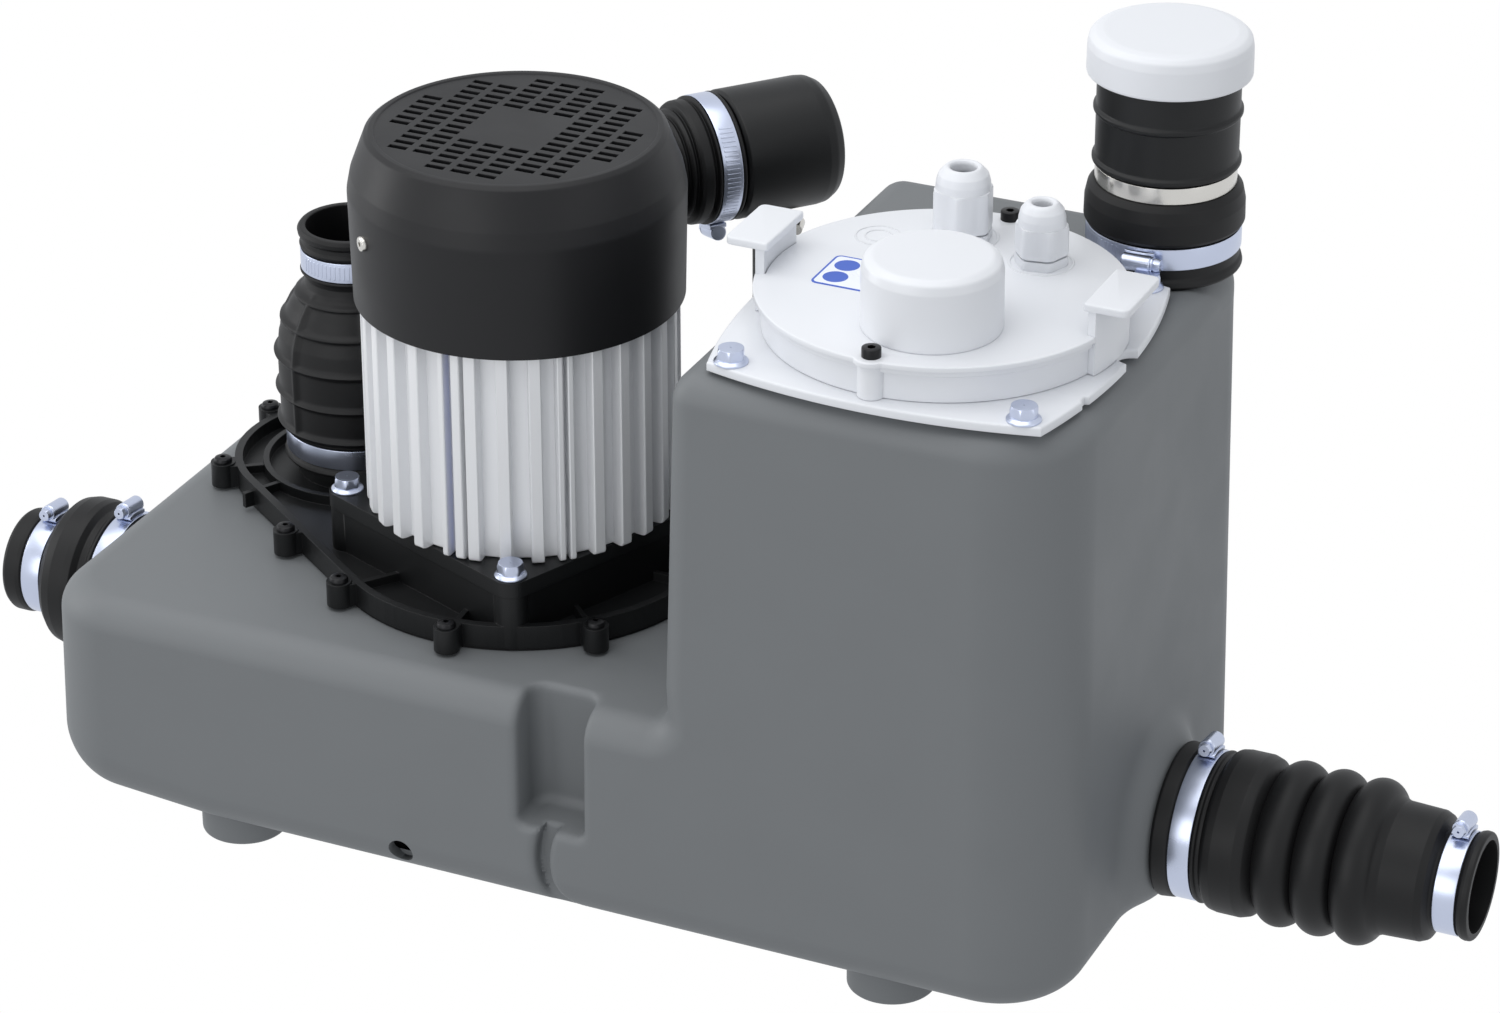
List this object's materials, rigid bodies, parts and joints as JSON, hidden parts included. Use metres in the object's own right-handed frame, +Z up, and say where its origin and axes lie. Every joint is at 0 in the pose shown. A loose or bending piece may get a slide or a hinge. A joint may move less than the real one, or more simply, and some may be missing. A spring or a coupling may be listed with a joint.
{
  "type": "grey water pump station",
  "caption": "Floor-standing grey water pump station: grey tank with a low pump deck, finned motor, rubber inlet and outlet boots, and a tall block with a control lid and capped vent.",
  "frame": {"origin": "on the floor, at the centre of the rectangle of the four feet", "axes": "+Z up, +X along the tank towards the tall block, +Y to the back, away from the viewer"},
  "size_m": [0.8784, 0.3795, 0.479],
  "materials": {
    "tank_plastic": "satin",
    "black_plastic": "satin",
    "rubber": "matt",
    "black_steel": "satin",
    "zinc": "bright zinc",
    "steel": "satin",
    "core_steel": "laminated",
    "black_paint": "satin",
    "cast_aluminium": "as cast",
    "label": "gloss",
    "white_plastic": "satin",
    "grey_plastic": "satin",
    "board": "gloss"
  },
  "bodies": {
    "base": {"tank": "tank_plastic", "pump_cover": "black_plastic", "pump_cover_seal": "rubber", "pump_cover_screws": "black_steel", "volute_casing": "black_plastic", "volute_screws": "zinc", "shaft_seal": "rubber", "lower_bearing": "steel", "upper_bearing": "steel", "stator": "core_steel", "motor_flange": "black_paint", "motor_bolts": "zinc", "motor_housing": "cast_aluminium", "upper_shield": "cast_aluminium", "motor_label": "label", "fan_cover": "black_plastic", "fan_cover_screws": "steel", "discharge_boot": "rubber", "discharge_clamps": "zinc", "left_inlet_boot": "rubber", "left_inlet_clamps": "zinc", "right_inlet_boot": "rubber", "right_inlet_clamps": "zinc", "vent_boot": "rubber", "vent_sleeve": "black_plastic", "vent_clamp": "zinc", "vent_band": "steel", "lid_plate": "white_plastic", "lid_seal": "rubber", "lid_bolts": "zinc", "valve_elbow": "rubber", "valve_barrel": "black_plastic", "valve_clamp": "zinc", "drain_hose": "rubber", "drain_clamps": "zinc", "clamp_screws": "zinc"},
    "rotor_set": {"motor_shaft": "steel", "rotor": "core_steel", "cooling_fan": "black_plastic", "impeller": "black_plastic", "impeller_nut": "steel"},
    "discharge_flap": {"discharge_flap": "rubber"},
    "valve_flap": {"valve_flap": "rubber"},
    "vent_cap": {"vent_cap": "white_plastic"},
    "control_unit": {"control_housing": "white_plastic", "control_cover": "white_plastic", "control_screws": "black_steel", "alarm_dome": "white_plastic", "large_gland": "white_plastic", "large_gland_nut": "white_plastic", "small_gland": "white_plastic", "small_gland_nut": "white_plastic", "control_label": "label", "pressure_tubes": "grey_plastic", "control_board": "board"}
  },
  "joints": [
    {"name": "shaft_spin", "type": "hinge", "parent": "base", "child": "rotor_set", "pos_m": [-0.0715, -0.001, 0.2], "axis": [0, 0, 1], "continuous": true},
    {"name": "discharge_flap_swing", "type": "hinge", "parent": "base", "child": "discharge_flap", "pos_m": [-0.21615, 0.08263, 0.1831], "axis": [-0.9397, -0.342, 0], "range_deg": [0, 55]},
    {"name": "valve_flap_swing", "type": "hinge", "parent": "base", "child": "valve_flap", "pos_m": [0.00196, 0.19807, 0.358], "axis": [-0.766, 0.6428, 0], "range_deg": [0, 55]},
    {"name": "cap_lift", "type": "slide", "parent": "base", "child": "vent_cap", "axis": [0, 0, 1], "range_m": [0, 0.06]},
    {"name": "control_lift", "type": "slide", "parent": "base", "child": "control_unit", "axis": [0, 0, 1], "range_m": [0, 0.32]}
  ]
}
